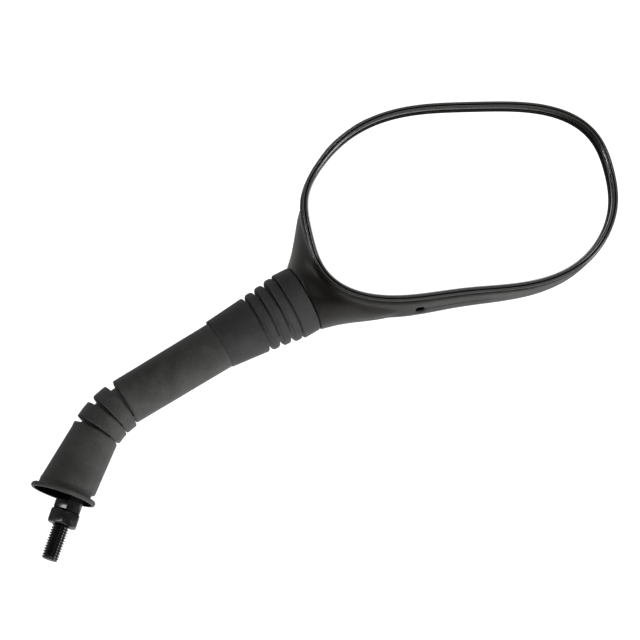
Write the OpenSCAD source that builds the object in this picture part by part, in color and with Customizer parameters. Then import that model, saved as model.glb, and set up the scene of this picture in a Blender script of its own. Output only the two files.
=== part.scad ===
// Motorcycle mirror with a bent steel stem, rubber sleeve and ball jointed head.
// Millimetres, Z up. The origin is the middle of the lock nut's lower face, with
// the threaded stud hanging below it. The stem bends towards +X and the glass
// faces -Y.

/* [Stud and stem] */
// Diameter of the threaded stud
stud_diameter = 8; // [7:0.1:9]
// Length of stud below the lock nut
stud_length = 16.5; // [12:0.5:22]
// Bevel at the tip of the stud
stud_bevel = 0.9; // [0.4:0.1:1.4]
// Width across the flats of the lock nut
nut_width = 13; // [12:0.1:15]
// Height of the lock nut
nut_height = 6.5; // [5:0.1:8]
// Width across the flats of the hexagon forged on the stem
hex_width = 12; // [10.5:0.1:14]
// Height of the hexagon forged on the stem
hex_height = 6.2; // [5:0.1:7.5]
// Diameter of the round steel rod
rod_diameter = 10; // [8.5:0.1:11]
// Height above the nut's lower face where the lower bend begins
bend_height = 37.1; // [34:0.1:44]
// Radius of the lower bend at the middle of the rod
bend_radius = 40; // [37:0.5:46]
// Angle of the lower bend
bend_angle = 39.8; // [36:0.1:44]
// Straight rod between the lower bend and the boot
sleeve_run = 50.3; // [44:0.1:60]
// Small bend under the boot
boot_bend = 2.6; // [1.5:0.1:3.4]
// Straight rod from the small bend to the middle of the ball
ball_run = 33.5; // [33.5:0.1:38]
// Diameter of the ball
ball_diameter = 15; // [14.4:0.1:15.6]
// Diameter of the thin stretch of rod under the ball
ball_neck_diameter = 7.5; // [6.5:0.1:8.2]

/* [Rubber sleeve] */
// Clearance of the sleeve's bore round the rod
sleeve_grip = 0.05; // [0.02:0.01:0.1]
// Diameter of the thin lip at the sleeve's foot
lip_diameter = 30.7; // [29:0.1:33]
// Thickness of the lip
lip_thickness = 2.1; // [1.6:0.1:2.4]
// Height of the lip's lower edge
lip_height = 12.6; // [12:0.1:13]
// How far the foot of the sleeve sits off the stud's axis
foot_offset = 3.3; // [2.7:0.1:3.6]
// Diameter of the cup at its lower edge
cup_diameter = 25.7; // [24.6:0.1:27.5]
// Diameter of the sleeve through the elbow
elbow_diameter = 21.6; // [20.4:0.1:22.4]
// Diameter of the long sleeve where it meets the boot
sleeve_diameter = 22.4; // [21.6:0.1:23]
// Depth of the wedge slots in the elbow
slot_depth = 18.5; // [15:0.5:19.5]

/* [Rubber boot] */
// Diameter of the sleeve's end that the boot grips
grip_diameter = 19; // [18.2:0.1:19.4]
// Length of the sleeve's end inside the boot
boot_grip = 8.5; // [7:0.1:9.5]
// Diameter of the boot at its foot
boot_foot_diameter = 23.6; // [23.2:0.1:25]
// Diameter of the boot's sleeve at its top
boot_top_diameter = 27.3; // [26.4:0.1:29]
// Diameter of the first fold
fold_1_diameter = 28.3; // [27.4:0.1:29.5]
// Diameter of the second fold
fold_2_diameter = 29.6; // [28.5:0.1:30.6]
// Diameter of the third fold
fold_3_diameter = 31.2; // [30:0.1:32]
// Diameter of the collar that grips the housing
collar_diameter = 32.2; // [30.5:0.1:33.4]
// Length of one fold along the boot
fold_length = 3.8; // [3.4:0.1:4]
// Gap between two folds
fold_gap = 1.6; // [1.4:0.1:1.8]
// Rounding of the fold edges
fold_round = 1.2; // [0.8:0.1:1.4]

/* [Housing] */
// Half length of the glass
glass_half_length = 71.8; // [66:0.1:75]
// Half height of the glass
glass_half_height = 43.6; // [40:0.1:46]
// Width of the rim outside the glass
rim_width = 3.3; // [3.1:0.1:4]
// Depth of the housing behind the rim
housing_depth = 38; // [35:0.5:41]
// Wall thickness of the moulding
wall = 2.6; // [2:0.1:3.2]
// How far the back of the housing sits below the rim
back_drop = 4.2; // [2.8:0.1:5.4]
// How far the side walls lean in behind the rim
draft = 1.6; // [0.6:0.1:2.2]
// Diameter of the round spigot under the boot's collar
spigot_diameter = 27.4; // [26:0.1:28.4]
// Angle at which the upper side of the neck flares
flare_upper = 40; // [24:1:48]
// Angle at which the lower side of the neck flares
flare_lower = 12; // [4:1:22]
// Length of the drain hole along the rim
drain_length = 4; // [3.9:0.1:6]
// Width of the drain hole
drain_width = 3.6; // [2:0.1:3.8]
// Depth of the drain hole behind the rim
drain_depth = 8.4; // [8:0.1:12]

/* [Glass] */
// Depth of the glass edge below the rim
glass_recess = 3.6; // [2.6:0.1:4.2]
// Thickness of the glass
glass_thickness = 2.2; // [1.8:0.1:2.6]
// Rise of the domed glass at its middle
glass_dome = 1.6; // [0.8:0.1:2.2]
// Thickness of the adhesive foam
foam_thickness = 1; // [0.6:0.1:1.4]
// Thickness of the backing plate
backing_thickness = 1.6; // [1.2:0.1:2]
// Gap round the glass
glass_gap = 0.3; // [0.2:0.05:0.4]
// Width of the bezel ring
bezel_width = 1.3; // [1.1:0.1:1.5]
// Depth of the bezel ring
bezel_depth = 5.2; // [4.6:0.1:5.8]
// Gap between the bezel and the housing
bezel_gap = 0.25; // [0.2:0.05:0.35]

/* [Ball joint] */
// Clearance between the ball and its seats
ball_clearance = 0.15; // [0.1:0.01:0.3]
// Thickness of the two seats
seat_thickness = 2.25; // [1.9:0.05:2.4]
// Clearance outside the seats
seat_clearance = 0.3; // [0.25:0.05:0.4]
// Distance from the ball's middle to the clamp shoulder
clamp_height = 18.7; // [18:0.1:19.6]
// Thickness of the clamp plate
clamp_thickness = 2; // [1.6:0.1:2.6]
// Distance of each clamp screw from the middle
screw_spacing = 13.2; // [12.9:0.1:13.5]
// Diameter of the clamp screws
screw_diameter = 3.2; // [2.6:0.1:3.4]
// Depth of the screw holes below the clamp shoulder
screw_hole_depth = 10; // [8.6:0.1:11]

/* [Hidden] */
$fn = 64;

// Share of an ellipse's radius that the glass edge reaches, every 22.5 degrees.
fullness = [1.00, 1.055, 1.13, 1.05, 0.995, 1.02, 1.00, 0.96,
    0.995, 1.055, 1.175, 1.08, 0.96, 1.01, 1.04, 1.01];
// Number of points round the outline of the head
columns = 80;
// Angles of the head about the ball
neck_back = 7.8;
neck_swing = 23.3;
// Place of the middle of the rim, measured from the ball in the plane of the rim
head_reach = 75.75;
head_rise = 37.45;
head_front = 23;
// Gap that lets one solid rest against the next
rest = 0.3;
// Running clearance of a round fit
fit = 0.05;
// How much thinner the rod is where it is bent
bend_thinning = 0.03;

ball_r = ball_diameter/2;
seat_in = ball_r + ball_clearance;
seat_out = seat_in + seat_thickness;
pocket_r = seat_out + seat_clearance;
ear_r = 3.3;
rod_r = rod_diameter/2;
spigot_r = spigot_diameter/2;
spigot_foot = -6;
collar_top = 1.9;
foot_z = -ball_run - boot_grip;
knee_radius = 60;
knee = knee_radius*tan(boot_bend/2);
ledge = -glass_recess - glass_thickness - foam_thickness - backing_thickness;

// Frames along the arm and for the head.
module after_bend() translate([bend_radius*(1 - cos(bend_angle)), 0,
    bend_height + bend_radius*sin(bend_angle)]) rotate([0, bend_angle, 0]) children();
module at_ball() after_bend() translate([0, 0, sleeve_run + boot_grip])
    rotate([0, boot_bend, 0]) translate([0, 0, ball_run]) rotate([0, 0, 180]) children();
module at_head() at_ball() rotate([neck_back - 90, 0, 0]) rotate([0, 0, -90 - neck_swing])
    translate([head_reach, head_rise, head_front]) children();
module neck_in_head() translate([-head_reach, -head_rise, -head_front])
    rotate([0, 0, 90 + neck_swing]) rotate([90 - neck_back, 0, 0]) children();

// A round bar that follows the lower bend, from one angle of the bend to another.
module bend_bar(r, a0 = 0, a1 = bend_angle, inset = 0)
    translate([bend_radius, 0, bend_height]) rotate([90, 0, 180]) rotate([0, 0, a0])
    rotate_extrude(angle = a1 - a0) translate([bend_radius - inset, 0]) circle(r);

// Bent steel stem with its stud, forged hexagon and thin neck for the ball.
module stem() color([0.16, 0.16, 0.17]) {
    stud_r = stud_diameter/2;
    hex_z = nut_height + rest;
    run = sleeve_run + boot_grip - knee;
    translate([0, 0, -stud_length]) cylinder(h = stud_bevel, r1 = stud_r - stud_bevel, r2 = stud_r);
    translate([0, 0, stud_bevel - stud_length]) cylinder(h = stud_length - stud_bevel, r = stud_r);
    cylinder(h = 0.6, r = stud_r - 0.4);
    translate([0, 0, 0.6]) cylinder(h = hex_z - 0.6, r = stud_r);
    translate([0, 0, hex_z]) cylinder(h = hex_height, d = hex_width/cos(30), $fn = 6);
    translate([0, 0, hex_z + hex_height])
        cylinder(h = bend_height - hex_z - hex_height + 0.3, r = rod_r);
    bend_bar(rod_r - bend_thinning);
    after_bend() translate([0, 0, -0.3]) cylinder(h = run + 0.6, r = rod_r);
    after_bend() translate([knee_radius, 0, run]) rotate([90, 0, 180])
        rotate_extrude(angle = boot_bend) translate([knee_radius, 0]) circle(rod_r - bend_thinning);
    at_ball() {
        translate([0, 0, knee - ball_run - 0.3]) cylinder(h = ball_run - knee - 14.7, r = rod_r);
        translate([0, 0, -15]) cylinder(h = 1.5, r1 = rod_r, r2 = ball_neck_diameter/2);
        translate([0, 0, -13.5]) cylinder(h = 13.5 - ball_r + 0.8, r = ball_neck_diameter/2);
        translate([0, 0, -ball_r]) cylinder(h = ball_r + 4, r = 2.6);
    }
}

// Ball pressed on the thin end of the stem.
module ball() color([0.62, 0.63, 0.65]) at_ball() difference() {
    sphere(ball_r);
    translate([0, 0, -ball_r - 1]) cylinder(h = ball_r + 5.2, r = 2.6 + 0.02);
    translate([0, 0, -ball_r - 1]) cylinder(h = 1.9, r = ball_neck_diameter/2 + 0.02);
}

// Hexagon lock nut with bevelled corners.
module lock_nut() color([0.15, 0.15, 0.16]) difference() {
    intersection() {
        cylinder(h = nut_height, d = nut_width/cos(30), $fn = 6);
        union() {
            cylinder(h = 1.1, d1 = nut_width - 0.4, d2 = nut_width/cos(30) + 0.1);
            translate([0, 0, 1.1]) cylinder(h = nut_height - 2.2, d = nut_width/cos(30) + 0.1);
            translate([0, 0, nut_height - 1.1])
                cylinder(h = 1.1, d1 = nut_width/cos(30) + 0.1, d2 = nut_width - 0.4);
        }
    }
    translate([0, 0, -1]) cylinder(h = nut_height + 2, r = stud_diameter/2 + fit);
}

// One wedge slot across the outer side of the elbow.
module slot(a0, a1, am) translate([bend_radius, 0, bend_height]) rotate([90, 0, 0])
    translate([0, 0, -16]) linear_extrude(32) polygon([
        for (p = [[am - 0.7, bend_radius + elbow_diameter/2 - slot_depth],
            [am + 0.7, bend_radius + elbow_diameter/2 - slot_depth],
            [a1, bend_radius + 13], [a0, bend_radius + 13]]) [-p[1]*cos(p[0]), p[1]*sin(p[0])]]);

// Rubber sleeve over the rod: lip, cup, two elbow rings and the long tapered sleeve.
module arm_sleeve() color([0.24, 0.24, 0.245]) difference() {
    union() {
        difference() {
            union() {
                translate([-foot_offset - 0.5, 0, lip_height]) {
                    cylinder(h = lip_thickness/2, d1 = lip_diameter - 0.8, d2 = lip_diameter);
                    translate([0, 0, lip_thickness/2])
                        cylinder(h = lip_thickness/2, d1 = lip_diameter, d2 = lip_diameter - 1);
                    cylinder(h = 5.5, d = cup_diameter - 1.1);
                }
                intersection() {
                    translate([-foot_offset + 0.4, 0, 17.4]) rotate([0, 8.4, 0])
                        translate([0, 0, -4]) cylinder(h = 31.6, d1 = cup_diameter + 0.6,
                            d2 = elbow_diameter + 0.3);
                    translate([-30, -30, 17.3]) cube([60, 60, 60]);
                }
                bend_bar(elbow_diameter/2, 9, bend_angle);
                bend_bar(elbow_diameter/2 + 0.65, 12.9, 25.3, 0.55);
                bend_bar(elbow_diameter/2 + 0.65, 25.9, 37.6, 0.55);
                after_bend() cylinder(h = sleeve_run, d1 = elbow_diameter + 0.2, d2 = sleeve_diameter);
            }
            slot(10.9, 14.2, 12.6);
            slot(22.8, 26.6, 25.6);
            slot(34.5, 39.4, 37.9);
            translate([-foot_offset, 0, lip_height - 0.1])
                cylinder(h = 12, r1 = cup_diameter/2 - 0.9, r2 = rod_r);
            translate([-foot_offset - 0.5, 0, lip_height - 1])
                cylinder(h = 2.2, r = lip_diameter/2 - 2);
        }
        bend_bar(7.9, 2, bend_angle);
        after_bend() cylinder(h = sleeve_run + boot_grip, d = grip_diameter);
        after_bend() translate([0, 0, -1.5]) cylinder(h = 3, r = 7.4);
    }
    translate([0, 0, 10]) cylinder(h = bend_height - 9.7, r = rod_r + sleeve_grip);
    bend_bar(rod_r + sleeve_grip + bend_thinning);
    after_bend() translate([0, 0, -0.3])
        cylinder(h = sleeve_run + boot_grip + 1.3, r = rod_r + sleeve_grip);
}

// Half section of one fold of the boot: a band with rounded outer edges.
module fold(z, d) {
    translate([9.5, z]) square([d/2 - fold_round - 9.5, fold_length]);
    translate([9.5, z + fold_round]) square([d/2 - 9.5, fold_length - 2*fold_round]);
    for (h = [fold_round, fold_length - fold_round])
        translate([d/2 - fold_round, z + h]) circle(fold_round, $fn = 32);
}

// Rubber boot over the ball joint: tapered sleeve, three folds and a collar.
module joint_boot() color([0.22, 0.22, 0.225]) at_ball() difference() {
    pitch = fold_length + fold_gap;
    fold_foot = spigot_foot - 1 - 3*pitch + fold_gap;
    sleeve_top = fold_foot - fold_gap;
    rotate_extrude() difference() {
        union() {
            polygon([[5.4, foot_z - 1], [boot_foot_diameter/2, foot_z - 1],
                [boot_top_diameter/2, sleeve_top - 0.5], [boot_top_diameter/2 - 0.5, sleeve_top],
                [5.4, sleeve_top]]);
            translate([5.4, sleeve_top - 1]) square([5.2, spigot_foot - sleeve_top + 1]);
            fold(fold_foot, fold_1_diameter);
            fold(fold_foot + pitch, fold_2_diameter);
            fold(fold_foot + 2*pitch, fold_3_diameter);
            polygon([[5.4, spigot_foot - 1.6], [13.4, spigot_foot - 1.6], [13.4, spigot_foot - 0.4],
                [collar_diameter/2 - 0.6, spigot_foot - 0.4], [collar_diameter/2, spigot_foot + 0.3],
                [collar_diameter/2 - 0.2, collar_top - 0.5], [collar_diameter/2 - 0.7, collar_top],
                [5.4, collar_top]]);
        }
        translate([0, foot_z - 2]) square([grip_diameter/2 - 0.6, -foot_z - 3]);
        for (i = [0:2]) translate([0, fold_foot + i*pitch + 1.3])
            square([11.2 + 0.5*i, fold_length - 2.6]);
        translate([0, spigot_foot - rest]) square([spigot_r + fit, 20]);
    }
    translate([0, 0, -ball_run]) rotate([0, boot_bend, 0]) {
        translate([0, 0, -12]) cylinder(h = 12 + fit, d = grip_diameter + 2*fit);
        translate([-20, -20, -boot_grip - 10 + fit]) cube([40, 40, 10]);
    }
}

// A ball seat: part of a hollow ball between two angles from its axis.
module seat(a0, a1) rotate_extrude() intersection() {
    difference() {
        circle(seat_out);
        circle(seat_in);
    }
    polygon([[0, 0], [30*sin(a0), 30*cos(a0)], [30*sin(a1), 30*cos(a1)]]);
}
module seat_lower() color([0.85, 0.84, 0.8]) at_ball() seat(102, 130);
module seat_upper() color([0.85, 0.84, 0.8]) at_ball() seat(12, 58);

// Outline of the head: the glass edge, and lines parallel to it.
function sum(v, i = 0) = i >= len(v) ? 0 : v[i] + sum(v, i + 1);
function full(a) = let(n = len(fullness)) sum([for (j = [0:n - 1]) let(x = a - j*360/n)
    fullness[j]*(abs(sin(x/2)) < 0.0001 ? 1 : sin(n*x/2)/(n*tan(x/2)))]);
function edge(a) = full(a)*[glass_half_length*cos(a), glass_half_height*sin(a)];
function side(a) = let(t = edge(a + 1) - edge(a - 1)) [t[1], -t[0]]/norm(t);
edges = [for (i = [0:columns - 1]) edge(i*360/columns)];
sides = [for (i = [0:columns - 1]) side(i*360/columns)];
// One point: edge point e moved out by d along n and scaled by s. At the depth h behind the
// rim the wall has leaned in and its lower side has dropped.
function drop_at(h) = 1 - pow(1 - min(1, h/18), 2);
function lean_at(h) = let(x = max(0, min(1, (h - 4)/14))) x*x*(3 - 2*x);
function place(e, n, d, z, s, h) = let(p = s*(e + (d - draft*lean_at(h))*n),
    w = drop_at(h)*(1 - n[1])/2) [p[0] - 0.035*w*p[1], p[1] + w*(0.05*p[0] - back_drop), z];
function ring(d, z, s = 1, h = 0) =
    [for (i = [0:columns - 1]) place(edges[i], sides[i], d, z, s, h)];

// A closed skin through stacked rings, with a point at each end.
module skin(rings, top, bottom) {
    n = len(rings[0]);
    m = len(rings);
    polyhedron(concat([for (r = rings) each r], [top, bottom]), concat(
        [for (k = [0:m - 2]) for (i = [0:n - 1]) [k*n + i, k*n + (i + 1)%n, (k + 1)*n + i]],
        [for (k = [0:m - 2]) for (i = [0:n - 1])
            [k*n + (i + 1)%n, (k + 1)*n + (i + 1)%n, (k + 1)*n + i]],
        [for (i = [0:n - 1]) [(i + 1)%n, i, m*n]],
        [for (i = [0:n - 1]) [(m - 1)*n + i, (m - 1)*n + (i + 1)%n, m*n + 1]]));
}

// A closed ring swept from stacked rings, the last joined to the first.
module hoop(rings) {
    n = len(rings[0]);
    m = len(rings);
    polyhedron([for (r = rings) each r], concat(
        [for (k = [0:m - 1]) for (i = [0:n - 1])
            [k*n + i, k*n + (i + 1)%n, ((k + 1)%m)*n + i]],
        [for (k = [0:m - 1]) for (i = [0:n - 1])
            [k*n + (i + 1)%n, ((k + 1)%m)*n + (i + 1)%n, ((k + 1)%m)*n + i]]));
}

// The bowl of the housing with its rounded rim, as one solid.
function bowl_ring(t, d0, off, deep) = let(h = d0 + deep*pow(sin(t), 2/3))
    ring(off, -h, pow(cos(t), 2/3), h);
module bowl() skin(concat(
    [ring(rim_width - 1.3, -0.15), ring(rim_width - 0.6, -0.35), ring(rim_width - 0.15, -0.8)],
    [for (k = [0:10]) bowl_ring(k*8.8, 1.6, rim_width, housing_depth - 1.6)]),
    [0, 0, -0.15], [0, -back_drop, -housing_depth]);

// The space inside: opening for the bezel, opening for the glass, ledge and hollow back.
lip_in = glass_gap + bezel_width + bezel_gap;
module hollow() skin(concat(
    [ring(lip_in, 3), ring(lip_in, -bezel_depth - rest), ring(glass_gap, -bezel_depth - rest),
        ring(glass_gap, ledge - rest), ring(-3, ledge - rest)],
    [for (k = [0:7]) bowl_ring(k*12, 2.2 - ledge, -3, housing_depth - wall - 2.2 + ledge)]),
    [0, 0, 3], [0, -back_drop, wall - housing_depth]);

// Any point on the outside of the bowl, by its depth behind the rim and its angle.
function bowl_at(h, a) = let(t = asin(pow(max(0, min(1, (h - 1.6)/(housing_depth - 1.6))), 1.5)))
    place(edge(a), side(a), rim_width, -h, pow(cos(t), 2/3), h);

// Turns a direction, or a point, from the neck's axes to the head's.
function turned(p) = let(a = 90 - neck_back, b = 90 + neck_swing,
    q = [p[0], p[1]*cos(a) - p[2]*sin(a), p[1]*sin(a) + p[2]*cos(a)])
    [q[0]*cos(b) - q[1]*sin(b), q[0]*sin(b) + q[1]*cos(b), q[2]];
function in_head(p) = turned(p) - [head_reach, head_rise, head_front];

// The blend of the neck. Each strand leaves the collar at its flare angle and runs out along
// the outside of the bowl at its root. Roots go round the neck: upper, front, lower, back.
root_upper = 168;
root_middle = 218;
root_lower = 242;
root_front = 2.4;
root_side = 12;
root_back = housing_depth - 3.5;
neck_r = spigot_r + 2.5;
neck_core = in_head([0, 0, 45]);
function root(f, k = 1) = let(c = cos(f), s = sin(f), mid = (root_upper + root_lower)/2)
    bowl_at(root_side + k*s*(s > 0 ? root_front - root_side : root_side - root_back),
        mid - k*c*(root_lower - root_upper)/2 + (root_middle - mid)*abs(s));
function strand(f) = let(c = cos(f), s = sin(f), flare = c*c*(c > 0 ? flare_upper : flare_lower),
    from = in_head([neck_r*c, neck_r*s, collar_top + rest]), end = root(f),
    inward = (neck_core - end)/norm(neck_core - end), to = end + 0.8*inward,
    way = root(f, 1.05) - end, reach = norm(to - from),
    p1 = from + 0.4*reach*turned([sin(flare)*c, sin(flare)*s, cos(flare)]),
    p2 = to - 0.45*reach*(way/norm(way) + 0.15*inward))
    [for (i = [0:13]) let(t = i/13, u = 1 - t) u*u*u*from + 3*u*u*t*p1 + 3*u*t*t*p2 + t*t*t*to];
module neck() {
    strands = [for (i = [0:39]) strand(9*i)];
    skin(concat([[for (q = strands) q[13] + 0.25*(neck_core - q[13])]],
        [for (k = [13:-1:0]) [for (q = strands) q[k]]]),
        neck_core, in_head([0, 0, collar_top + rest]));
}

// Moulded housing: bowl, flared neck and spigot in one piece, bored for the ball joint.
module head_shell() color([0.13, 0.13, 0.13]) at_head() difference() {
    union() {
        bowl();
        neck();
        neck_in_head() translate([0, 0, spigot_foot]) rotate([0, 0, 5])
            cylinder(h = 12, r = spigot_r);
    }
    hollow();
    neck_in_head() {
        sphere(pocket_r);
        cylinder(h = 34, r = pocket_r + rest);
        translate([-screw_spacing - ear_r - 0.5, -ear_r - 1.3, clamp_height])
            cube([2*(screw_spacing + ear_r + 0.5), 2*(ear_r + 1.3), 34 - clamp_height]);
        for (x = [-screw_spacing, screw_spacing])
            translate([x, 0, clamp_height - screw_hole_depth])
                cylinder(h = screw_hole_depth + 1, d = screw_diameter + 2*fit, $fn = 32);
    }
    translate([-23.8, -60, -drain_depth]) rotate([-90, 0, 0]) {
        translate([-drain_length/2 + drain_width/2, -drain_width/2, 0])
            cube([drain_length - drain_width, drain_width, 22]);
        for (x = [-1, 1]) translate([x*(drain_length - drain_width)/2, 0, 0])
            cylinder(h = 22, d = drain_width, $fn = 24);
    }
}

// Thin ring between the glass and the housing's lip.
module bezel() color([0.1, 0.1, 0.1]) at_head() {
    a = glass_gap;
    b = glass_gap + bezel_width;
    hoop([ring(a, -bezel_depth), ring(a, -0.7), ring(a + 0.35, -0.15), ring((a + b)/2, 0),
        ring(b - 0.35, -0.15), ring(b, -0.7), ring(b, -bezel_depth)]);
}

// One layer of the glass stack: its top edge lies at z, the middle rises by the dome.
module layer(z, t) skin(concat(
    [for (s = [0.3, 0.6, 0.82]) ring(0, z + glass_dome*(1 - s*s), s)],
    [ring(0, z), ring(0, z - t)],
    [for (s = [0.82, 0.6, 0.3]) ring(0, z - t + glass_dome*(1 - s*s), s)]),
    [0, 0, z + glass_dome], [0, 0, z - t + glass_dome]);
module mirror_glass() color([0.82, 0.86, 0.88]) at_head() layer(-glass_recess, glass_thickness);
module foam_pad() color([0.3, 0.3, 0.3]) at_head()
    layer(-glass_recess - glass_thickness, foam_thickness);
module backing_plate() color([0.2, 0.2, 0.2]) at_head()
    layer(-glass_recess - glass_thickness - foam_thickness, backing_thickness);

// Ring that presses the upper seat on the ball.
module pressure_ring() color([0.7, 0.7, 0.66]) at_ball() difference() {
    translate([0, 0, 5]) cylinder(h = clamp_height - 6.8, r = pocket_r);
    sphere(pocket_r);
    translate([0, 0, 4]) cylinder(h = 20, r = 4);
}

// Dished spring between the ring and the clamp plate.
module clamp_spring() color([0.55, 0.56, 0.58]) at_ball() rotate_extrude() polygon([
    [4.6, clamp_height - 0.8], [4.6, clamp_height], [9.4, clamp_height - 0.7],
    [9.4, clamp_height - 1.5]]);

// Steel clamp plate with an ear for each screw.
module clamp_plate() color([0.5, 0.51, 0.53]) at_ball()
    translate([0, 0, clamp_height + rest]) difference() {
        union() {
            cylinder(h = clamp_thickness, r = pocket_r);
            for (x = [-screw_spacing, screw_spacing])
                translate([x, 0, 0]) cylinder(h = clamp_thickness, r = ear_r);
            translate([-screw_spacing, -ear_r, 0])
                cube([2*screw_spacing, 2*ear_r, clamp_thickness]);
        }
        translate([0, 0, -1]) cylinder(h = clamp_thickness + 2, r = 4);
        for (x = [-screw_spacing, screw_spacing]) translate([x, 0, -1])
            cylinder(h = clamp_thickness + 2, d = screw_diameter + 0.6, $fn = 32);
    }

// Clamp screw with a pan head and a hexagon socket.
module clamp_screw(x) color([0.6, 0.61, 0.63]) at_ball()
    translate([x, 0, clamp_height + clamp_thickness + 2*rest]) difference() {
        union() {
            cylinder(h = 2, r1 = 3, r2 = 2.6, $fn = 32);
            translate([0, 0, -clamp_thickness - screw_hole_depth + 1])
                cylinder(h = clamp_thickness + screw_hole_depth - 1, d = screw_diameter, $fn = 32);
        }
        translate([0, 0, 0.9]) cylinder(h = 2, r = 1.3, $fn = 6);
    }
module clamp_screw_1() clamp_screw(-screw_spacing);
module clamp_screw_2() clamp_screw(screw_spacing);

stem();
ball();
lock_nut();
arm_sleeve();
joint_boot();
seat_lower();
seat_upper();
head_shell();
bezel();
mirror_glass();
foam_pad();
backing_plate();
pressure_ring();
clamp_spring();
clamp_plate();
clamp_screw_1();
clamp_screw_2();
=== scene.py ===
import math

import bpy
from mathutils import Matrix, Vector


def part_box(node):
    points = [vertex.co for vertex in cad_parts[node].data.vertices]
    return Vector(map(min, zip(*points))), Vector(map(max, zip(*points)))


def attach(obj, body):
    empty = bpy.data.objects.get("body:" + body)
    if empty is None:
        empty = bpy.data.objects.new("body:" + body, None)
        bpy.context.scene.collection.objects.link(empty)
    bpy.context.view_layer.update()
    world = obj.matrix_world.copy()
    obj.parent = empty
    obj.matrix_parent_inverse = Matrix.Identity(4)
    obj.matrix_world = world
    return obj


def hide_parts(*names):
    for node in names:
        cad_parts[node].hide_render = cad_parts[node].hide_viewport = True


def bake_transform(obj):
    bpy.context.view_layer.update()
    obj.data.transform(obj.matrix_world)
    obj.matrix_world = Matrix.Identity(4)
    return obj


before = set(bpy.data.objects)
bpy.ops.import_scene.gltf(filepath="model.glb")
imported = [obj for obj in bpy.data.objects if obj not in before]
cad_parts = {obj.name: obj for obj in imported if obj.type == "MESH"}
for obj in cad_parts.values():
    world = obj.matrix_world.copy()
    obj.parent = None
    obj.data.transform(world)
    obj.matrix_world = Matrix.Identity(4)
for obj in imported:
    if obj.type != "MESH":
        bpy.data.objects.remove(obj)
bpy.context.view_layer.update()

mm = 0.001


# Camera. A long lens a little below the ball joint, turned so that the arm leans to the right
# and the glass is seen almost square on.
camera_place = (0.08103, -1.59230, -0.19790)
view_right = Vector((0.94826, -0.06349, 0.31109))
view_up = Vector((-0.31750, -0.18961, 0.92911))
lens = bpy.data.cameras.new("camera")
lens.lens = 200
lens.sensor_width = 36
lens.clip_start = 0.05
lens.clip_end = 30
camera = bpy.data.objects.new("camera", lens)
camera.matrix_world = Matrix.Translation(camera_place) @ Matrix(
    (view_right, view_up, view_right.cross(view_up))).transposed().to_4x4()
bpy.context.scene.collection.objects.link(camera)
bpy.context.scene.camera = camera
bpy.context.scene.view_settings.view_transform = "Standard"


# Studio. A dark room with a white sheet that only the glass faces and white paper low on the
# right. A large soft lamp low on the right and a smaller one above give the light, and two
# lamps at the sides are there only for the glints on rim and steel.
class Wire:
    """A socket that can be used in sums. Each sum adds a Math node."""

    def __init__(self, socket):
        self.socket = socket
        self.tree = socket.id_data

    def math(self, operation, first, second=0.0):
        node = self.tree.nodes.new("ShaderNodeMath")
        node.operation = operation
        for slot, value in zip(node.inputs, (first, second)):
            plug(slot, value)
        return Wire(node.outputs[0])

    def __add__(self, other): return self.math("ADD", self, other)
    def __radd__(self, other): return self.math("ADD", other, self)
    def __sub__(self, other): return self.math("SUBTRACT", self, other)
    def __rsub__(self, other): return self.math("SUBTRACT", other, self)
    def __mul__(self, other): return self.math("MULTIPLY", self, other)
    def __rmul__(self, other): return self.math("MULTIPLY", other, self)
    def __pow__(self, other): return self.math("POWER", self, other)
    def __gt__(self, other): return self.math("GREATER_THAN", self, other)
    def __lt__(self, other): return self.math("LESS_THAN", self, other)
    def __abs__(self): return self.math("ABSOLUTE", self)

    def ramp(self, low, high):
        """0 below low, 1 above high, and a soft step between them."""
        node = self.tree.nodes.new("ShaderNodeMapRange")
        node.interpolation_type = "SMOOTHSTEP"
        for slot, value in zip(node.inputs, (self, low, high)):
            plug(slot, value)
        return Wire(node.outputs[0])


def plug(slot, value):
    if isinstance(value, Wire):
        slot.id_data.links.new(value.socket, slot)
    elif isinstance(value, (int, float)) and slot.type in ("RGBA", "VECTOR"):
        slot.default_value = (value, value, value, 1)[:len(slot.default_value)]
    elif slot.type == "RGBA":
        slot.default_value = (*value, 1)
    else:
        slot.default_value = value


class Finish:
    """A material, or the world, with its nodes laid down one after another."""

    def __init__(self, name, owner=None):
        self.owner = owner or bpy.data.materials.new(name)
        self.owner.use_nodes = True
        self.tree = self.owner.node_tree
        self.tree.nodes.clear()

    def node(self, kind, settings=None, sockets=None, out=0):
        node = self.tree.nodes.new("ShaderNode" + kind)
        for name, value in (settings or {}).items():
            setattr(node, name, value)
        for name, value in (sockets or {}).items():
            plug(node.inputs[name], value)
        return Wire(node.outputs[out])

    def light_path(self, kind):
        return self.node("LightPath", out="Is " + kind + " Ray")

    def noise(self, place, scale, detail, **others):
        return self.node("TexNoise", sockets={"Vector": place, "Scale": scale, "Detail": detail,
                                              **others})

    def mix(self, share, first, second, blend="MIX"):
        """A colour between two colours, each a grey level, a triple or the output of a node."""
        return self.node("Mix", {"data_type": "RGBA", "blend_type": blend},
                         {0: share, 6: first, 7: second}, out=2)

    def bump(self, height, strength, distance):
        return self.node("Bump", sockets={"Height": height, "Strength": strength,
                                          "Distance": distance})

    def done(self, shader):
        kind = "OutputWorld" if isinstance(self.owner, bpy.types.World) else "OutputMaterial"
        plug(self.tree.nodes.new("ShaderNode" + kind).inputs["Surface"], shader)
        return self.owner


room = Finish("room", bpy.data.worlds.new("room"))
toward = room.node("TexCoord", out="Generated")


def towards(direction):
    return room.node("VectorMath", {"operation": "DOT_PRODUCT"},
                     {0: toward, 1: Vector(direction).normalized()}, out="Value")


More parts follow.
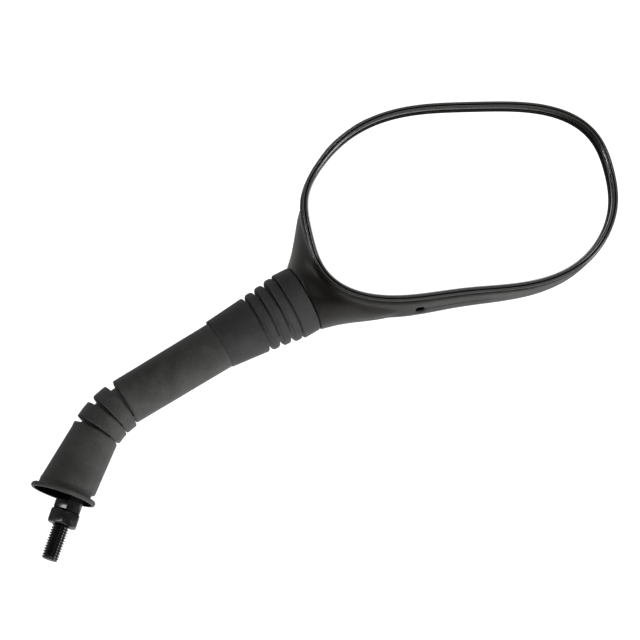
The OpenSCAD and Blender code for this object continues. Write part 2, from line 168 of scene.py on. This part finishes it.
ceiling = 0.16 * towards((0, 0, 1)).ramp(-0.2, 0.4)
sheet = 1.2 * towards((0.25, -0.83, 0.5)).ramp(0.89, 0.95)
wall_behind = 0.25 * towards((0, 1, 0)).ramp(0.2, 0.8)
wall_left = 0.7 * towards((-0.9, 0.4, 0.3)).ramp(0.5, 0.95)
low_right = towards((0.62, 0.35, -0.70))
paper_mirrored = 1.1 * low_right.ramp(0.3, 0.9)
paper_light = 1.2 * low_right.ramp(0.1, 0.9)
mirrored = room.light_path("Glossy")
seen = room.light_path("Camera") + room.light_path("Transmission")
strength = seen + (1 - seen) * (
    mirrored * (0.03 + ceiling + sheet + paper_mirrored + wall_behind + wall_left)
    + (1 - mirrored) * (0.04 + paper_light))
bpy.context.scene.world = room.done(
    room.node("Background", sockets={"Color": 1.0, "Strength": strength}))

aim = Vector((0.1, 0, 0.14))
lamps = (  # name, place, width, watts and use
    ("lamp_key", (1.3, -0.85, -1.25), 1.6, 52, "light"),
    ("lamp_top", (-0.5, -1.5, 1.2), 0.6, 15, "light"),
    ("lamp_left", (-1.1, -0.8, -0.25), 0.4, 5, "glint"),
    ("lamp_right", (1.55, -0.25, 0.2), 0.5, 8, "glint"))
for name, place, size, watts, use in lamps:
    lamp = bpy.data.lights.new(name, "AREA")
    lamp.shape = "DISK"
    lamp.size = size
    lamp.energy = watts
    holder = bpy.data.objects.new(name, lamp)
    turn = (aim - Vector(place)).to_track_quat("-Z", "Y").to_matrix().to_4x4()
    holder.matrix_world = Matrix.Translation(place) @ turn
    holder.visible_glossy = use == "glint"
    holder.visible_diffuse = use == "light"
    bpy.context.scene.collection.objects.link(holder)


# Floor and backdrop. White card under the stud and behind the mirror, far enough back for the
# head to be turned on its ball. Each is seen from its own side only.
card = Finish("white_card")
front = card.light_path("Camera") * (1 - card.node("NewGeometry", out="Backfacing"))
glow = card.node("Emission", sockets={"Color": 1.0, "Strength": 0.9})
paper = card.node("BsdfDiffuse", sockets={"Color": 0.30})
white_card = card.done(card.node("MixShader", sockets={
    0: front, 1: card.node("BsdfTransparent"),
    2: card.node("AddShader", sockets={0: glow, 1: paper})}))


def model(kind, name, **place):
    """Adds a primitive with everything else deselected, and names it."""
    bpy.ops.object.select_all(action="DESELECT")
    getattr(bpy.ops.mesh, "primitive_" + kind + "_add")(**place)
    piece = bpy.context.object
    piece.name = piece.data.name = name
    return piece


def settle(piece, place=None):
    """Moves a piece's mesh to its place and leaves its object at the origin."""
    piece.data.transform(place if place is not None else piece.matrix_basis)
    piece.matrix_basis = Matrix()
    return piece


card_width = 6
backdrop_distance = 0.15
stud_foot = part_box("stem")[0][2]
backdrop = model("plane", "backdrop", size=card_width)
settle(backdrop, Matrix.Translation((0, backdrop_distance, 0))
       @ Matrix.Rotation(math.pi / 2, 4, "X"))
floor = model("plane", "floor", size=card_width)
settle(floor, Matrix.Translation((0, 0, stud_foot)))
for card_piece in (backdrop, floor):
    card_piece.data.materials.append(white_card)


# Stem. A bent steel bar with a forged hexagon, painted gloss black. Its foot is an M8 stud
# with a rolled thread, whose upper turns are inside the lock nut.
merge_distance = 0.002 * mm
finest_cut = 0.001 * mm


def alone(piece):
    """Makes a piece the only one selected, and the active one."""
    bpy.ops.object.select_all(action="DESELECT")
    piece.select_set(True)
    bpy.context.view_layer.objects.active = piece


def pick(piece, test=lambda corner: True):
    """Opens a piece's mesh with only the corners that pass the test selected."""
    if piece.mode == "EDIT":
        bpy.ops.object.mode_set(mode="OBJECT")
    alone(piece)
    bpy.context.tool_settings.mesh_select_mode = (True, False, False)
    mesh = piece.data
    mesh.polygons.foreach_set("select", [False] * len(mesh.polygons))
    mesh.edges.foreach_set("select", [False] * len(mesh.edges))
    mesh.vertices.foreach_set("select", [bool(test(corner.co)) for corner in mesh.vertices])
    bpy.ops.object.mode_set(mode="EDIT")


def close():
    bpy.ops.object.mode_set(mode="OBJECT")


def modify(piece, kind, **settings):
    """Adds a modifier and applies it."""
    alone(piece)
    change = piece.modifiers.new(kind.lower(), kind)
    for name, value in settings.items():
        setattr(change, name, value)
    bpy.ops.object.modifier_apply(modifier=change.name)


def smooth(piece, degrees):
    alone(piece)
    bpy.ops.object.shade_smooth_by_angle(angle=math.radians(degrees))


def copy_of(node, name):
    """A copy of a CAD node as a new piece, with its loose triangles joined."""
    piece = bpy.data.objects.new(name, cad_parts[node].data.copy())
    piece.data.name = name
    piece.data.materials.clear()
    bpy.context.scene.collection.objects.link(piece)
    pick(piece)
    bpy.ops.mesh.remove_doubles(threshold=merge_distance)
    bpy.ops.mesh.normals_make_consistent(inside=False)
    close()
    bpy.ops.mesh.customdata_custom_splitnormals_clear()
    return piece


def dress(piece, finish, body=None, slot=None, *nodes):
    """Gives a piece its finish and its body, and hides the nodes it stands for. The slot is not
    used.
    """
    piece.data.materials.clear()
    piece.data.materials.append(finish)
    if body:
        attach(piece, body)
    if nodes:
        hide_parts(*nodes)


def finish_node(node, finish):
    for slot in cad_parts[node].material_slots:
        slot.material = finish


thread_pitch = 1.25 * mm
thread_root = 3.27 * mm
thread_top = 3 * mm
thread_turns = 18
turn_steps = 40
stud = model("plane", "stem_steel", size=thread_pitch, rotation=(math.pi / 2, 0, 0),
             location=(thread_root - thread_pitch / 2, 0, stud_foot - thread_pitch))
settle(stud)
pick(stud, lambda c: c.x < thread_root - thread_pitch / 2)
bpy.ops.mesh.delete(type="VERT")
close()
pick(stud)
bpy.ops.mesh.subdivide(number_cuts=7)
close()
for reach, lift in ((2.5, 0.22), (1.5, 0.30), (0.5, 0.19)):
    pick(stud, lambda c: abs(c.z - stud_foot + thread_pitch) < reach * thread_pitch / 8)
    bpy.ops.transform.translate(value=(lift * mm, 0, 0))
    close()
modify(stud, "SCREW", axis="Z", screw_offset=thread_pitch, iterations=thread_turns,
       steps=turn_steps, render_steps=turn_steps)
pick(stud)
bpy.ops.mesh.remove_doubles(threshold=merge_distance)
bpy.ops.mesh.select_all(action="DESELECT")
bpy.ops.mesh.select_non_manifold()
bpy.ops.mesh.fill_holes(sides=0)
bpy.ops.mesh.select_all(action="SELECT")
bpy.ops.mesh.normals_make_consistent(inside=False)
close()
crest_radius = 3.99 * mm
tip_bevel = 0.8 * mm
blank_height = thread_top + 0.3 * mm - stud_foot
blank = model("cylinder", "blank", vertices=80, radius=crest_radius, depth=blank_height,
              location=(0, 0, stud_foot + blank_height / 2))
settle(blank)
pick(blank, lambda c: c.z < 0)
bpy.ops.mesh.bevel(offset=tip_bevel, offset_type="OFFSET", segments=2)
close()
modify(stud, "BOOLEAN", operation="INTERSECT", object=blank, solver="EXACT")
bpy.data.objects.remove(blank)

shank_radius = 3.95 * mm
shank_height = 4.2 * mm
shank = model("cylinder", "shank", vertices=80, radius=shank_radius, depth=shank_height,
              location=(0, 0, thread_top + shank_height / 2))
hexagon_width = 12 * mm
hexagon_foot = 6.8 * mm
hexagon_height = 6.26 * mm
rod_foot = hexagon_foot + hexagon_height - 0.04 * mm
hexagon = model("cylinder", "hexagon", vertices=6, depth=hexagon_height,
                radius=hexagon_width / 2 / math.cos(math.pi / 6),
                location=(0, 0, hexagon_foot + hexagon_height / 2))
modify(hexagon, "BEVEL", width=0.25 * mm, segments=2)
rod = copy_of("stem", "rod")
pick(rod)
bpy.ops.mesh.bisect(plane_co=(0, 0, rod_foot), plane_no=(0, 0, 1), threshold=finest_cut,
                    clear_inner=True, use_fill=True)
close()
for part in (shank, hexagon, rod):
    settle(part)
    modify(stud, "BOOLEAN", operation="UNION", object=part, solver="EXACT")
    bpy.data.objects.remove(part)
smooth(stud, 32)

paint = Finish("black_steel")
place = paint.node("TexCoord", out="Object")
orange_peel = paint.noise(place, 900, 2)
scuffs = paint.noise(place, 260, 5).ramp(0.52, 0.72)
black_steel = paint.done(paint.node("BsdfPrincipled", sockets={
    "Base Color": paint.mix(scuffs, 0.006, (0.016, 0.016, 0.015)),
    "Roughness": 0.17 + 0.14 * scuffs, "Specular IOR Level": 0.42,
    "Normal": paint.bump(orange_peel, 0.25, 0.03 * mm)}))
dress(stud, black_steel, "arm", "black_steel", "stem")


# Ball. A hardened steel ball pressed on the thin end of the stem and greased, hidden in the
# neck of the housing.
polish = Finish("bright_steel")
place = polish.node("TexCoord", out="Object")
turning = polish.noise(place, 1400, 3)
grease = polish.noise(place, 220, 2).ramp(0.45, 0.7)
bright_steel = polish.done(polish.node("BsdfPrincipled", sockets={
    "Base Color": polish.mix(grease, (0.62, 0.63, 0.65), (0.42, 0.40, 0.35)),
    "Metallic": 1.0, "Roughness": 0.14 + 0.22 * grease,
    "Normal": polish.bump(turning, 0.15, 0.01 * mm)}))
finish_node("ball", bright_steel)


# Lock nut. A hexagon steel nut with bevelled corners, blackened like the stem, screwed up
# against the hexagon.
corner_to_front = math.radians(30)
nut = settle(copy_of("lock_nut", "nut"), Matrix.Rotation(corner_to_front, 4, "Z"))
modify(nut, "BEVEL", width=0.18 * mm, segments=2, limit_method="ANGLE",
       angle_limit=math.radians(28))
smooth(nut, 30)
dress(nut, black_steel, "arm", "black_steel", "lock_nut")


# Arm sleeve. One moulding of soft black rubber, pushed over the bent bar: a thin lip, a cup,
# two rings at the elbow and the long tapered sleeve. Its edges are soft and its skin dusty.
sleeve = copy_of("arm_sleeve", "sleeve")
bend_radius = 40
bend_height = 37.1
bend_middle = Matrix.Translation(Vector((bend_radius, 0, bend_height)) * mm)
rod_middle = Matrix.Translation((-bend_radius * mm, 0, 0))


def cut_ring(piece, place, inner, outer, width):
    """Cuts a square groove round a piece, from one radius out to another."""
    cutter = model("circle", "cutter", vertices=96, radius=inner)
    pick(cutter)
    bpy.ops.mesh.extrude_region_move()
    bpy.ops.transform.resize(value=(outer / inner, outer / inner, 1), center_override=(0, 0, 0))
    close()
    modify(cutter, "SOLIDIFY", thickness=width, offset=0)
    settle(cutter, place)
    modify(piece, "BOOLEAN", operation="DIFFERENCE", object=cutter, solver="EXACT")
    bpy.data.objects.remove(cutter)


elbow_grooves = ((12.6, 1.25), (25.6, 1.0), (37.9, 0.9))  # degrees round the bend, width
for degrees, width in elbow_grooves:
    turn = Matrix.Rotation(math.radians(degrees), 4, "Y")
    cut_ring(sleeve, bend_middle @ turn @ rod_middle, 9.6 * mm, 14 * mm, width * mm)
modify(sleeve, "REMESH", mode="VOXEL", voxel_size=0.42 * mm)
modify(sleeve, "SMOOTH", factor=0.5, iterations=3)
smooth(sleeve, 60)

# Black for painted shade in hollows, and for the parting line of the housing.
painted_shade_and_seam_black = 0.002


def rubber(name, dark, light):
    """Black rubber with a dusty bloom, in streaks along the mould and in fine specks. The hollow
    inside the bell at its foot is painted pitch black as shade."""
    skin = Finish(name)
    place = skin.node("TexCoord", out="Object")
    x, y, z = (skin.node("SeparateXYZ", sockets={0: place}, out=axis) for axis in "XYZ")
    across = ((x + 3.7 * mm) ** 2 + y ** 2) ** 0.5
    mouth_shade = (across < 13.6 * mm) * (z < 14 * mm)
    cone_shade = (across + 0.6 * z < 20.4 * mm) * (z < 24 * mm)
    # Painted shade: the hollow inside the bell at the foot of the cup is coloured pitch black.
    painted_bell_shade = (mouth_shade + cone_shade > 0.5) * (z > 12.45 * mm)
    bloom = skin.noise(place, 55, 4, Roughness=0.6)
    specks = skin.noise(place, 1500, 2)
    dust = 0.75 * bloom.ramp(0.3, 0.72) + 0.25 * specks.ramp(0.35, 0.7)
    outside = skin.node("BsdfPrincipled", sockets={
        "Base Color": skin.mix(dust, dark, light),
        "Roughness": 0.62 + 0.16 * dust, "Specular IOR Level": 0.28, "Sheen Weight": 0.12,
        "Sheen Roughness": 0.45,
        "Normal": skin.bump(specks, 0.35, 0.03 * mm)})
    return skin.done(skin.node("MixShader", sockets={
        0: painted_bell_shade, 1: outside, 2: skin.node("BsdfDiffuse", sockets={"Color": painted_shade_and_seam_black})}))


sleeve_rubber = rubber("sleeve_rubber", (0.022, 0.022, 0.021), (0.062, 0.062, 0.060))
dress(sleeve, sleeve_rubber, "arm", "sleeve_rubber", "arm_sleeve")


# Ball seats and pressure ring. Two dished rings that hold the ball and a flat ring that presses
# on the upper one, all turned from ivory acetal and hidden in the neck.
acetal = Finish("seat_plastic")
place = acetal.node("TexCoord", out="Object")
clouds = acetal.noise(place, 300, 3)
rubbed = acetal.noise(place, 1100, 2).ramp(0.5, 0.7)
seat_plastic = acetal.done(acetal.node("BsdfPrincipled", sockets={
    "Base Color": acetal.mix(clouds, (0.74, 0.72, 0.64), (0.62, 0.60, 0.53)),
    "Roughness": 0.34 + 0.2 * rubbed,
    "Normal": acetal.bump(rubbed, 0.2, 0.02 * mm)}))
for node in ("seat_lower", "seat_upper", "pressure_ring"):
    finish_node(node, seat_plastic)


# Housing. One black plastic moulding: a deep bowl, a neck that flares out of it, and a round
# spigot. Its outside is spark textured, with a parting line from the drain hole along the
# lower wall. The lip round its opening is a fine glossy bead.
ball_middle = (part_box("ball")[0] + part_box("ball")[1]) / 2
neck_lean = math.radians(42.4)
neck_back = math.radians(7.8)
neck_swing = math.radians(23.3)
ball_to_rim = (75.75 * mm, 37.45 * mm, 23 * mm)
neck_place = (Matrix.Translation(ball_middle) @ Matrix.Rotation(neck_lean, 4, "Y")
              @ Matrix.Rotation(math.pi, 4, "Z"))
head_place = (neck_place @ Matrix.Rotation(neck_back - math.pi / 2, 4, "X")
              @ Matrix.Rotation(-math.pi / 2 - neck_swing, 4, "Z")
              @ Matrix.Translation(ball_to_rim))
head_turn = head_place.to_3x3()
head_across, head_up, head_front = (head_turn.col[i] for i in range(3))
rim_middle = head_place.translation

# In millimetres, with the share of the ellipse's radius reached every 22.5 degrees.
glass_half_length = 71.8
glass_half_height = 43.6
fullness = (1.00, 1.055, 1.13, 1.05, 0.995, 1.02, 1.00, 0.982,
            0.995, 1.055, 1.175, 1.08, 0.96, 1.01, 1.04, 1.01)
stations = 240


def glass_edge(degrees):
    """A point of the glass edge: an ellipse, made fuller or leaner every 22.5 degrees."""
    full = 0.0
    for i, share in enumerate(fullness):
        x = math.radians(degrees) - 2 * math.pi * i / len(fullness)
        full += share * (1 if abs(math.sin(x / 2)) < 1e-4 else
                         math.sin(len(fullness) * x / 2) / (len(fullness) * math.tan(x / 2)))
    return full * Vector((glass_half_length * math.cos(math.radians(degrees)),
                          glass_half_height * math.sin(math.radians(degrees)), 0))


def outline(offset):
    """The line a given distance outside the glass edge, in the head's own plane."""
    line = []
    for i in range(stations):
        a = 360 * i / stations
        along = glass_edge(a + 1) - glass_edge(a - 1)
        line.append((glass_edge(a) + offset * Vector((along.y, -along.x, 0)).normalized()) * mm)
    return line


def band(name, section):
    """A closed ring with a given section, as offsets outside the glass edge and heights."""
    piece = model("circle", name, vertices=stations, radius=1)
    for i, (offset, height) in enumerate((*section, section[0])):
        moved = [point + Vector((0, 0, height * mm)) for point in outline(offset)]
        if i == 0:
            for corner, spot in zip(piece.data.vertices, moved):
                corner.co = spot
            pick(piece)
        else:
            bpy.ops.mesh.extrude_region_move()
            close()
            for corner in piece.data.vertices[-stations:]:
                near = min(range(stations), key=lambda j: (spots[j] - corner.co).length_squared)
                corner.co = moved[near]
            bpy.ops.object.mode_set(mode="EDIT")
        spots = moved
    bpy.ops.mesh.select_all(action="SELECT")
    bpy.ops.mesh.remove_doubles(threshold=merge_distance)
    bpy.ops.mesh.normals_make_consistent(inside=False)
    close()
    settle(piece, head_place)
    smooth(piece, 50)
    return piece


housing = copy_of("head_shell", "housing")
liner = band("liner", ((1.0, -2.6), (1.0, -7.0), (1.3, -7.0), (1.8, -5.2), (1.8, -2.6)))
alone(housing)
liner.select_set(True)
bpy.ops.object.join()
modify(housing, "REMESH", mode="VOXEL", voxel_size=0.75 * mm)
lean_corner = head_place @ Vector((-69 * mm, 17 * mm, 0))
pick(housing, lambda c: (c - lean_corner).length < 7 * mm)
bpy.ops.transform.translate(value=head_turn @ Vector((-1.1 * mm, 0.75 * mm, 0)),
                            use_proportional_edit=True, proportional_edit_falloff="SMOOTH",
                            proportional_size=24 * mm)
close()
modify(housing, "SMOOTH", factor=0.5, iterations=7)
bead_seat = 1.3 * mm
pick(housing)
bpy.ops.mesh.bisect(plane_co=rim_middle - bead_seat * head_front, plane_no=head_front,
                    clear_outer=True, use_fill=True)
close()
smooth(housing, 40)
bead = band("rim_bead", (
    (1.86, -3.1), (1.86, -0.74), (1.93, -0.50), (2.08, -0.34), (2.24, -0.28), (2.48, -0.28),
    (2.66, -0.34), (2.84, -0.48), (3.0, -0.70), (3.11, -0.98), (3.17, -1.32), (3.17, -1.7),
    (3.0, -2.3), (2.6, -3.1)))

skin = Finish("housing_plastic")
place = skin.node("TexCoord", out="Object")
grain = skin.noise(place, 2000, 2)
handled = skin.noise(place, 45, 4).ramp(0.35, 0.7)


def along(finish, point, direction, origin):
    """How far a surface point lies from an origin in one direction, in millimetres."""
    shift = finish.node("VectorMath", {"operation": "SUBTRACT"}, {0: point, 1: origin})
    return finish.node("VectorMath", {"operation": "DOT_PRODUCT"},
                       {0: shift, 1: direction * 1000}, out="Value")


drain = head_place @ Vector((-23.8 * mm, -50 * mm, -8.4 * mm))
right_of_drain = along(skin, place, head_across, drain)
front_of_drain = along(skin, place, head_front, drain)
above_drain = along(skin, place, head_up, drain)
parting = (abs(front_of_drain - 0.6) < 0.26) * right_of_drain.ramp(1, 3) \
    * (1 - right_of_drain.ramp(24, 46))
# Painted shade: the drain hole is coloured pitch black, as the shade inside it. The parting line
# is a dark mould mark.
drain_hole_shade = (right_of_drain * 0.9) ** 2 + front_of_drain ** 2 < 3.4
hole_shade_and_parting_line = drain_hole_shade * (above_drain < 20) + 0.9 * parting * (above_drain < 8.5)
plain = skin.mix(handled, (0.0035, 0.0033, 0.0029), (0.007, 0.0065, 0.0058))
plastic = skin.node("BsdfPrincipled", sockets={
    "Base Color": skin.mix(grain.ramp(0.62, 0.35), plain, 0.35, blend="MULTIPLY"),
    "Roughness": 0.48 - 0.06 * handled, "Specular IOR Level": 0.35,
    "Specular Tint": (1, 0.97, 0.94), "Normal": skin.bump(grain, 0.5, 0.08 * mm)})
housing_plastic = skin.done(skin.node("MixShader", sockets={
    0: hole_shade_and_parting_line, 1: plastic, 2: skin.node("BsdfDiffuse", sockets={"Color": painted_shade_and_seam_black})}))


def gloss_plastic(name, rough):
    """Black plastic from a polished mould, with faint flow marks."""
    skin = Finish(name)
    place = skin.node("TexCoord", out="Object")
    flow = skin.noise(place, 400, 2)
    return skin.done(skin.node("BsdfPrincipled", sockets={
        "Base Color": skin.mix(flow, (0.006, 0.006, 0.005), (0.011, 0.011, 0.010)),
        "Roughness": rough + 0.06 * flow, "Specular IOR Level": 0.9,
        "Normal": skin.bump(flow, 0.05, 0.01 * mm)}))


rim_plastic = gloss_plastic("rim_plastic", 0.2)
dress(housing, housing_plastic, "head", "housing_plastic", "head_shell")
dress(bead, rim_plastic, "head", "housing_plastic", "head_shell")


# Clamp. A dished spring, a plate with two ears and two screws, all zinc plated steel, which
# hold the pressure ring and the seats on the ball. They are hidden in the neck.
zinc = Finish("clamp_steel")
place = zinc.node("TexCoord", out="Object")
spangle = zinc.noise(place, 700, 4)
tint = zinc.noise(place, 120, 2)
clamp_steel = zinc.done(zinc.node("BsdfPrincipled", sockets={
    "Base Color": zinc.mix(tint, (0.58, 0.59, 0.60), (0.55, 0.53, 0.44)),
    "Metallic": 1.0, "Roughness": 0.3 + 0.2 * spangle,
    "Normal": zinc.bump(spangle, 0.2, 0.02 * mm)}))
for node in ("clamp_spring", "clamp_plate", "clamp_screw_1", "clamp_screw_2"):
    finish_node(node, clamp_steel)


# Joint boot. One moulding of soft black rubber that grips the sleeve and the spigot: a tapered
# sleeve, three folds and a collar. The mesh is cut in the gaps between the folds; the sleeve
# goes with the arm, the collar with the head, and the folds stay where they are.
boot = copy_of("joint_boot", "boot")
collar_gap = 1.3 * mm
collar_foot = -6.65 * mm
cut_ring(boot, neck_place @ Matrix.Translation((0, 0, collar_foot)), 13.6 * mm, 18 * mm,
         collar_gap)
bore_radius = 9.85 * mm
bore_length = 14.8 * mm
bore_middle = -14.5 * mm
bore = model("cylinder", "bore", vertices=96, radius=bore_radius, depth=bore_length)
settle(bore, neck_place @ Matrix.Translation((0, 0, bore_middle)))
modify(boot, "BOOLEAN", operation="DIFFERENCE", object=bore, solver="EXACT")
bpy.data.objects.remove(bore)
modify(boot, "BEVEL", width=0.25 * mm, segments=2, limit_method="ANGLE",
       angle_limit=math.radians(50))
boot_rubber = rubber("boot_rubber", (0.017, 0.017, 0.017), (0.040, 0.040, 0.039))
neck_axis = neck_place.to_3x3().col[2]
cuts = (-22.4, -17.0, -11.6, -6.7)  # millimetres along the neck, from the ball's middle
parts = (("boot_sleeve", None, cuts[0]), ("boot_fold_1", cuts[0], cuts[1]),
         ("boot_fold_2", cuts[1], cuts[2]), ("boot_fold_3", cuts[2], cuts[3]),
         ("boot_collar", cuts[3], None))
for i, (name, low, high) in enumerate(parts):
    part = bpy.data.objects.new(name, boot.data.copy())
    part.data.name = name
    bpy.context.scene.collection.objects.link(part)
    for height, side in ((low, "clear_inner"), (high, "clear_outer")):
        if height is not None:
            pick(part)
            bpy.ops.mesh.bisect(plane_co=ball_middle + height * mm * neck_axis,
                                plane_no=neck_axis, use_fill=True, **{side: True})
            close()
    smooth(part, 40)
    dress(part, boot_rubber, None, "boot_rubber", "joint_boot")
    if low is None or high is None:
        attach(part, "arm" if low is None else "head")
    else:
        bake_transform(part)
bpy.data.objects.remove(boot)


# Backing plate and foam pad. A black ribbed plastic plate rests on the ledge of the housing,
# and a grey adhesive foam pad between it and the glass takes up the dome.
plate_skin = Finish("backing_plastic")
place = plate_skin.node("TexCoord", out="Object")
flow = plate_skin.noise(place, 90, 3)
matt = plate_skin.noise(place, 1800, 2)
finish_node("backing_plate", plate_skin.done(plate_skin.node("BsdfPrincipled", sockets={
    "Base Color": plate_skin.mix(flow, 0.02, (0.034, 0.034, 0.035)),
    "Roughness": 0.5 + 0.15 * matt,
    "Normal": plate_skin.bump(matt, 0.3, 0.03 * mm)})))
sponge = Finish("foam")
place = sponge.node("TexCoord", out="Object")
cells = sponge.node("TexVoronoi", sockets={"Vector": place, "Scale": 1600}, out="Distance")
finish_node("foam_pad", sponge.done(sponge.node("BsdfPrincipled", sockets={
    "Base Color": sponge.mix(cells, 0.30, 0.12),
    "Roughness": 0.85 + 0.1 * cells,
    "Normal": sponge.bump(1 - cells, 0.6, 0.15 * mm)})))


# Glass. A slightly domed mirror, silvered on its face, with a ground bevel round its edge. It
# is stuck to the foam pad.
glass_top = -3.6 * mm
glass_thickness = 2.2 * mm
glass_dome = 1.6 * mm
bevel_share = 0.988
bevel_drop = 0.12 * mm
glass = model("circle", "glass", vertices=stations, radius=1)
for corner, spot in zip(glass.data.vertices, outline(0)):
    corner.co = spot + Vector((0, 0, glass_top - bevel_drop))


def draw_in(rings, depth):
    """Draws the picked edge in to the middle over some rings, at a depth below the dome."""
    share = 1.0
    height = -bevel_drop
    for ring in rings:
        rise = glass_dome * (1 - ring ** 2) - depth
        bpy.ops.mesh.extrude_region_move()
        bpy.ops.transform.resize(value=(ring / share, ring / share, 1),
                                 center_override=(0, 0, 0))
        bpy.ops.transform.translate(value=(0, 0, rise - height))
        share, height = ring, rise
    bpy.ops.mesh.merge(type="CENTER")


pick(glass)
draw_in((bevel_share, 0.97, 0.9, 0.8, 0.7, 0.58, 0.45, 0.3, 0.15), 0)
close()
pick(glass, lambda c: c.z < glass_top - 0.9 * bevel_drop)
draw_in((1.0, 0.9, 0.7, 0.45, 0.2), glass_thickness)
bpy.ops.mesh.select_all(action="SELECT")
bpy.ops.mesh.normals_make_consistent(inside=False)
close()
settle(glass, head_place)
smooth(glass, 14)

silver = Finish("mirror")
place = silver.node("TexCoord", out="Object")
wiped = silver.noise(place, 26, 3).ramp(0.4, 0.75)
mirror = silver.done(silver.node("BsdfPrincipled", sockets={
    "Base Color": silver.mix(wiped, (0.93, 0.935, 0.94), (0.90, 0.91, 0.92)),
    "Metallic": 1.0, "Roughness": 0.015 + 0.02 * wiped}))
dress(glass, mirror, "head", "mirror", "mirror_glass")


# Bezel. A thin ring of glossy black plastic, snapped into the opening of the housing round
# the glass. Its top is rounded.
bezel = band("bezel_ring", (
    (0.31, -5.0), (0.31, -1.08), (0.36, -0.75), (0.48, -0.47), (0.66, -0.26), (0.86, -0.15),
    (1.14, -0.15), (1.32, -0.23), (1.46, -0.39), (1.55, -0.63), (1.59, -0.93), (1.59, -5.0)))
dress(bezel, gloss_plastic("bezel_plastic", 0.18), "head", "bezel_plastic", "bezel")
